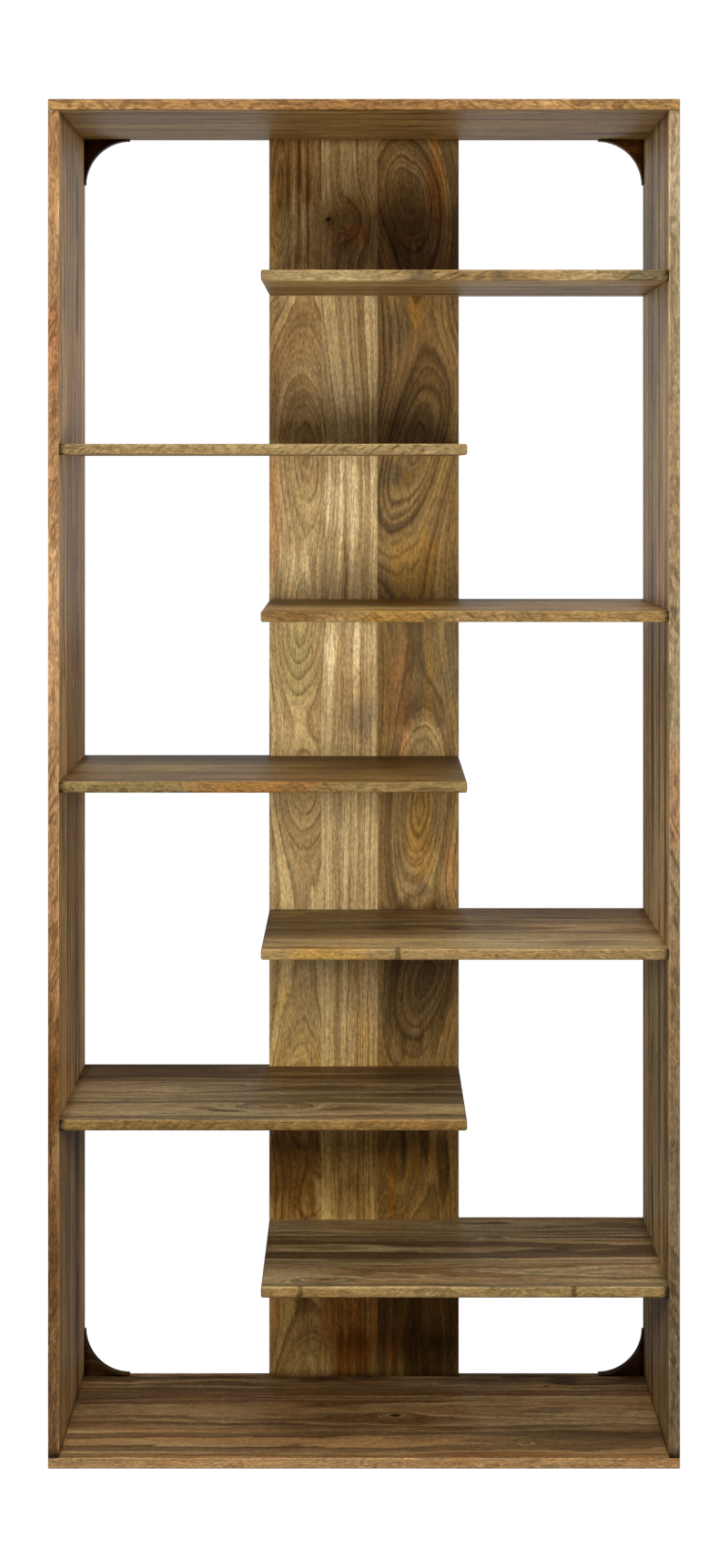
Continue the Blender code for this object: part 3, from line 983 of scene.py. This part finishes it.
def cut_away(shape, tool):
    """Takes one closed body away from another, which keeps its vertex marks."""
    things = []
    for name, source in (("stock", shape), ("tool", tool)):
        mesh = bpy.data.meshes.new(name)
        source.to_mesh(mesh)
        things.append(new_object(name, mesh))
    cut = things[0].modifiers.new("cut", "BOOLEAN")
    cut.operation = "DIFFERENCE"
    cut.solver = "EXACT"
    cut.object = things[1]
    graph = bpy.context.evaluated_depsgraph_get()
    result = bpy.data.meshes.new_from_object(things[0].evaluated_get(graph))
    shape.clear()
    shape.from_mesh(result)
    bpy.data.meshes.remove(result)
    for thing in things:
        bpy.data.meshes.remove(thing.data)


def board(node, outline, push, ends, seats, easing, wood, material):
    """One board that stands for a node of the frame: its outline, pushed along an axis
    between two ends."""
    low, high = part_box(node)
    shape = prism(outline, push, ends)
    cut_stations(shape, wood.grain, low[wood.grain], high[wood.grain])
    round_arrises(shape, easing, seats)
    wear(shape, wood.seeds[0], seats)
    bore(shape, node)
    for face in shape.faces:
        face.smooth = True
    mesh = bpy.data.meshes.new(node + "_timber")
    shape.to_mesh(mesh)
    shape.free()
    mesh.materials.append(material)
    piece = new_object(node + "_timber", mesh)
    weights = piece.modifiers.new("even_shading", "WEIGHTED_NORMAL")
    weights.mode = "FACE_AREA"
    weights.weight = SHADING_WEIGHT
    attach(piece, "root")
    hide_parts(node)


def make_case(groups):
    """Top and bottom boards over the whole width, and the two sides between them."""
    for node, wood in CASE_WOODS.items():
        low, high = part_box(node)
        ends = (low.z, high.z)
        seats = []
        underside = low.z
        if wood.grain == Z:
            ends = (low.z - GLUE_REACH, high.z + GLUE_REACH)
            seats = [(Z, end) for end in ends]
            underside = 0.0
        material = wood_material(node, wood, groups, underside)
        board(node, rectangle(low, high), Z, ends, seats, CASE_EASING, wood, material)


def make_back(groups):
    """The back panel's three upright staves, glued edge to edge."""
    last = len(STAVE_WOODS) - 1
    for i, (node, wood) in enumerate(STAVE_WOODS.items()):
        low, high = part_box(node)
        ends = (low.z - GLUE_REACH, high.z + GLUE_REACH)
        seats = [(Z, end) for end in ends]
        if i > 0:
            low.x -= SEAT_GAP / 2
            seats.append((X, low.x))
        if i < last:
            high.x += SEAT_GAP / 2
            seats.append((X, high.x))
        material = wood_material(node, wood, groups)
        board(node, rectangle(low, high), Z, ends, seats, STAVE_EASING, wood, material)


def make_shelves(groups):
    """Shelves with a step at the rear that lets them pass in front of the back panel."""
    panel_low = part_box("back_stave_left")[0]
    panel_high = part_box("back_stave_right")[1]
    step = panel_low.y + FLATNESS
    for node, wood in SHELF_WOODS.items():
        low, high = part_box(node)
        if node.startswith("left"):
            fixed = low.x - GLUE_REACH
            free = high.x
            notch = panel_low.x + FLATNESS
        else:
            fixed = high.x + GLUE_REACH
            free = low.x
            notch = panel_high.x - FLATNESS
        outline = [(fixed, low.y), (free, low.y), (free, step), (notch, step),
                   (notch, high.y), (fixed, high.y)]
        seats = [(X, fixed), (X, notch), (Y, step)]
        material = wood_material(node, wood, groups, low.z)
        board(node, outline, Z, (low.z, high.z), seats, SHELF_EASING, wood, material)


GUSSET_TIP = 2.0 * MILLIMETRE
GUSSET_STEPS = 32
GUSSET_CURL = 1.4


def make_gussets(groups):
    """Corner gussets at the rear, each with a hollow quarter round between its two legs."""
    for node, (seed, heart, tint) in GUSSETS.items():
        # The tint holds painted shade of the gusset's corner as well as the wood's tone
        wood = Wood(through=Y, across=Z, seeds=(seed,), hearts=(heart,), tint=tint,
                    curl=GUSSET_CURL)
        low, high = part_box(node)
        at_left = node.endswith("left")
        at_top = node.startswith("gusset_top")
        side = low.x if at_left else high.x
        flat = high.z if at_top else low.z
        inward = 1.0 if at_left else -1.0
        upward = -1.0 if at_top else 1.0
        leg = high.x - low.x
        radius = leg - GUSSET_TIP
        seats = [(X, side - inward * GLUE_REACH), (Z, flat - upward * GLUE_REACH)]
        outline = [(seats[0][1], seats[1][1]), (side + inward * leg, seats[1][1])]
        for i in range(GUSSET_STEPS + 1):
            turn = math.pi / 2 * i / GUSSET_STEPS
            outline.append((side + inward * (leg - radius * math.sin(turn)),
                            flat + upward * (leg - radius * math.cos(turn))))
        outline.append((seats[0][1], flat + upward * leg))
        material = wood_material(node, wood, groups)
        board(node, outline, Y, (low.y, high.y), seats, GUSSET_EASING, wood, material)


# Dowels and screws: mostly out of sight, but whole, for anyone who takes the case apart

SCREW_SIDES = 36
THREAD_PITCH = 1.8 * MILLIMETRE
THREAD_STEPS = 8
THREAD_SHARE = 0.68
THREAD_SHARPNESS = 2.2
POINT_SHARE = 0.15
POINT_BLUNTNESS = 0.06
SMOOTH_SHARE = 0.30
SMOOTH_RADIUS = 0.86
RIM = 0.25 * MILLIMETRE
RIM_STEPS = ((0.0, 1.0), (0.4, 0.3), (1.0, 0.0), (2.0, 0.0))
CROSS_SPAN = 4.4 * MILLIMETRE
CROSS_SLOT = 1.1 * MILLIMETRE
CROSS_DEPTH = 1.5 * MILLIMETRE
CROSS_TAPER = 0.45


def screw_radius(depth, turn, length, shank):
    """Radius of the screw's body at a depth under the head, with its thread."""
    if depth < length * SMOOTH_SHARE:
        return shank * SMOOTH_RADIUS
    wave = abs((depth / THREAD_PITCH - turn / math.tau) % 1.0 * 2 - 1)
    fade = min(1.0, (length - depth) / (length * POINT_SHARE))
    crest = THREAD_SHARE + (1 - THREAD_SHARE) * max(0.0, 1 - wave * THREAD_SHARPNESS)
    return shank * crest * max(POINT_BLUNTNESS, fade)


def screw_shape(length, head, shank):
    """Countersunk screw with its head's top at the origin and its point along -Z."""
    shape = bmesh.new()
    smooth = shank * SMOOTH_RADIUS
    profile = [(-RIM * down, head - RIM * inward) for down, inward in RIM_STEPS]
    profile.append((-RIM * 2 - (head - smooth), smooth))
    rings = [[(radius, z)] * SCREW_SIDES for z, radius in profile]
    turns = [math.tau * i / SCREW_SIDES for i in range(SCREW_SIDES)]
    depth = -profile[-1][0]
    step = THREAD_PITCH / THREAD_STEPS
    while depth + step < length:
        depth += step
        rings.append([(screw_radius(depth, turn, length, shank), -depth) for turn in turns])
    verts = []
    for ring in rings:
        verts.append([
            shape.verts.new((radius * math.cos(turn), radius * math.sin(turn), z))
            for turn, (radius, z) in zip(turns, ring)
        ])
    shape.faces.new(verts[0])
    tip = shape.verts.new((0.0, 0.0, -length))
    join_rings(shape, verts)
    for i in range(SCREW_SIDES):
        shape.faces.new((verts[-1][i], verts[-1][(i + 1) % SCREW_SIDES], tip))
    bmesh.ops.recalc_face_normals(shape, faces=shape.faces)
    cut_cross(shape)
    return shape


def cut_cross(shape):
    """Cuts the driver's cross recess, which narrows as it goes down."""
    arm = CROSS_SPAN / 2
    slot = CROSS_SLOT / 2
    corners = []
    for way, side in ((1, 0), (0, 1), (-1, 0), (0, -1)):
        for along, across in ((arm, -slot), (arm, slot)):
            corners.append((way * along - side * across, side * along + way * across))
        corners.append(((way - side) * slot, (way + side) * slot))
    tool = bmesh.new()
    levels = []
    for z, scale in ((CLEAR, 1.0), (0.0, 1.0), (-CROSS_DEPTH, CROSS_TAPER)):
        levels.append([tool.verts.new((x * scale, y * scale, z)) for x, y in corners])
    tool.faces.new(levels[0])
    tool.faces.new(levels[-1])
    join_rings(tool, levels)
    bmesh.ops.recalc_face_normals(tool, faces=tool.faces)
    cut_away(shape, tool)
    tool.free()


ZINC = {"bright": (0.62, 0.60, 0.55, 1.0), "dull": (0.40, 0.38, 0.33, 1.0)}
ZINC_NOISES = {"cloud": (420, 3), "grain": (2600, 1)}
ZINC_CLOUD = (0.4, 0.65)
ZINC_ROUGHNESS = (0.28, 0.46)
ZINC_RELIEF = (0.2, 0.02 * MILLIMETRE)
BEECH = {
    "pale": (0.62, 0.42, 0.24, 1.0), "brown": (0.48, 0.29, 0.15, 1.0),
    "fleck": (0.27, 0.14, 0.06, 1.0),
}
BEECH_NOISES = {"tone": (140, 2), "fleck": (900, 1)}
BEECH_FLECKS = (0.58, 0.70, 0, 0.5)
BEECH_ROUGHNESS = (0.3, 0.7, 0.55, 0.7)
BEECH_RELIEF = (0.3, 0.05 * MILLIMETRE)


def steel_material():
    """Zinc-plated steel with a fine grain and duller, darker places."""
    material, net, shader = new_material("zinc_steel")
    point = net.add("ShaderNodeTexCoord").outputs["Object"]
    dull = net.ramp(net.noise(point, *ZINC_NOISES["cloud"]), *ZINC_CLOUD)
    net.feed(shader["Base Color"], net.blend(dull, ZINC["bright"], ZINC["dull"]))
    net.feed(shader["Roughness"], net.ramp(dull, 0, 1, *ZINC_ROUGHNESS))
    shader["Metallic"].default_value = 1.0
    net.feed(shader["Normal"], net.bump(*ZINC_RELIEF, net.noise(point, *ZINC_NOISES["grain"])))
    return material


def dowel_material():
    """Pale beech with small dark flecks."""
    material, net, shader = new_material("beech")
    point = net.add("ShaderNodeTexCoord").outputs["Object"]
    tone = net.noise(point, *BEECH_NOISES["tone"])
    fleck = net.noise(point, *BEECH_NOISES["fleck"])
    colour = net.blend(tone, BEECH["pale"], BEECH["brown"])
    colour = net.blend(net.ramp(fleck, *BEECH_FLECKS), colour, BEECH["fleck"])
    net.feed(shader["Base Color"], colour)
    net.feed(shader["Roughness"], net.ramp(tone, *BEECH_ROUGHNESS))
    net.feed(shader["Normal"], net.bump(*BEECH_RELIEF, fleck))
    return material


def make_fasteners():
    """Threaded screws in place of the plain ones, and a beech finish for the dowels."""
    beech = dowel_material()
    steel = steel_material()
    mesh = None
    for name in sorted(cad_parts):
        low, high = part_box(name)
        if name.startswith("dowel_"):
            bpy.data.objects[name].material_slots[0].material = beech
        elif name.startswith("screw_"):
            if mesh is None:
                head = (high.x - low.x) / 2
                shape = screw_shape(high.y - low.y, head, head / 2)
                mesh = bpy.data.meshes.new("countersunk_screw")
                shape.to_mesh(mesh)
                shape.free()
                mesh.materials.append(steel)
            screw = new_object(name + "_steel", mesh)
            screw.location = ((low.x + high.x) / 2, high.y, (low.z + high.z) / 2)
            screw.rotation_euler = (math.radians(-90), 0.0, 0.0)
            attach(screw, "root")
            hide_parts(name)


# Surroundings: a pale floor that melts into a white studio, and soft light

FLOOR_RADIUS = 30.0
FLOOR_SIDES = 96
FLOOR_DROP = 0.2 * MILLIMETRE
FLOOR_GREY = (0.08, 0.08, 0.08, 1.0)
FLOOR_ROUGHNESS = 0.9
FLOOR_LIGHT = 0.105
SEEN_WHITE = 1.05
STUDIO_LIGHT = 0.05
ALL_WAYS = math.pi
NARROW = math.radians(16)

# Each light: name, place, aim, width, height, watts, spread, seen in reflections
LIGHTS = (
    ("front_softbox", (0, -1.38, 1.10), (0, 0, 1.10), 1.3, 0.45, 18.6, ALL_WAYS, False),
    ("tall_softbox", (0, -1.38, 1.30), (0, 0, 1.30), 1.3, 1.7, 4.5, ALL_WAYS, False),
    ("high_softbox", (0, -1.0, 2.75), (0, -0.1, 0.8), 1.6, 0.5, 24.2, ALL_WAYS, True),
    ("backdrop", (0, 1.3, 1.75), (0, 0, 1.75), 2.6, 1.3, 6.0, ALL_WAYS, True),
    ("left_strip", (-1.6, 0, 1.2), (0, 0, 1.2), 0.3, 1.5, 9.0, ALL_WAYS, True),
    ("right_strip", (1.6, 0, 1.2), (0, 0, 1.2), 0.3, 1.5, 9.0, ALL_WAYS, True),
    ("back_strip", (0, 1.3, 1.0), (0, 0, 1.0), 0.2, 1.8, 0.5, NARROW, True),
)


def make_floor():
    shape = bmesh.new()
    bmesh.ops.create_circle(shape, cap_ends=True, radius=FLOOR_RADIUS, segments=FLOOR_SIDES)
    bmesh.ops.translate(shape, verts=shape.verts, vec=(0.0, 0.0, -FLOOR_DROP))
    mesh = bpy.data.meshes.new("studio_floor")
    shape.to_mesh(mesh)
    shape.free()
    material, net, shader = new_material("studio_white")
    shader["Base Color"].default_value = FLOOR_GREY
    shader["Roughness"].default_value = FLOOR_ROUGHNESS
    shader["Emission Color"].default_value = WHITE
    seen = net.add("ShaderNodeLightPath").outputs["Is Camera Ray"]
    net.feed(shader["Emission Strength"], net.ramp(seen, 0, 1, FLOOR_LIGHT, SEEN_WHITE))
    mesh.materials.append(material)
    floor = new_object("studio_floor", mesh)


def make_world():
    """White to the camera, and a weak fill light on the object."""
    world = bpy.data.worlds.new("white_studio")
    world.use_nodes = True
    net = Net(world.node_tree)
    seen = net.add("ShaderNodeLightPath").outputs["Is Camera Ray"]
    background = world.node_tree.nodes["Background"].inputs
    background["Color"].default_value = WHITE
    net.feed(background["Strength"], net.ramp(seen, 0, 1, STUDIO_LIGHT, SEEN_WHITE))
    bpy.context.scene.world = world


def make_lights():
    for name, place, aim, width, height, watts, spread, mirrored in LIGHTS:
        data = bpy.data.lights.new(name, "AREA")
        data.shape = "RECTANGLE"
        data.size = width
        data.size_y = height
        data.energy = watts
        data.spread = spread
        light = new_object(name, data)
        light.location = place
        light.rotation_euler = (Vector(aim) - Vector(place)).to_track_quat("-Z", "Y").to_euler()
        light.visible_camera = False
        light.visible_glossy = mirrored


def set_view():
    """Plain colours on the screen, with no film look."""
    view = bpy.context.scene.view_settings
    view.view_transform = "Standard"
    view.look = "None"
    view.exposure = 0.0
    view.gamma = 1.0


def main():
    make_camera()
    groups = {
        "figure": make_figure_group(), "patch": make_patch_group(), "wood": make_wood_group(),
    }
    make_case(groups)
    make_back(groups)
    make_shelves(groups)
    make_gussets(groups)
    make_fasteners()
    make_floor()
    make_world()
    make_lights()
    set_view()


main()
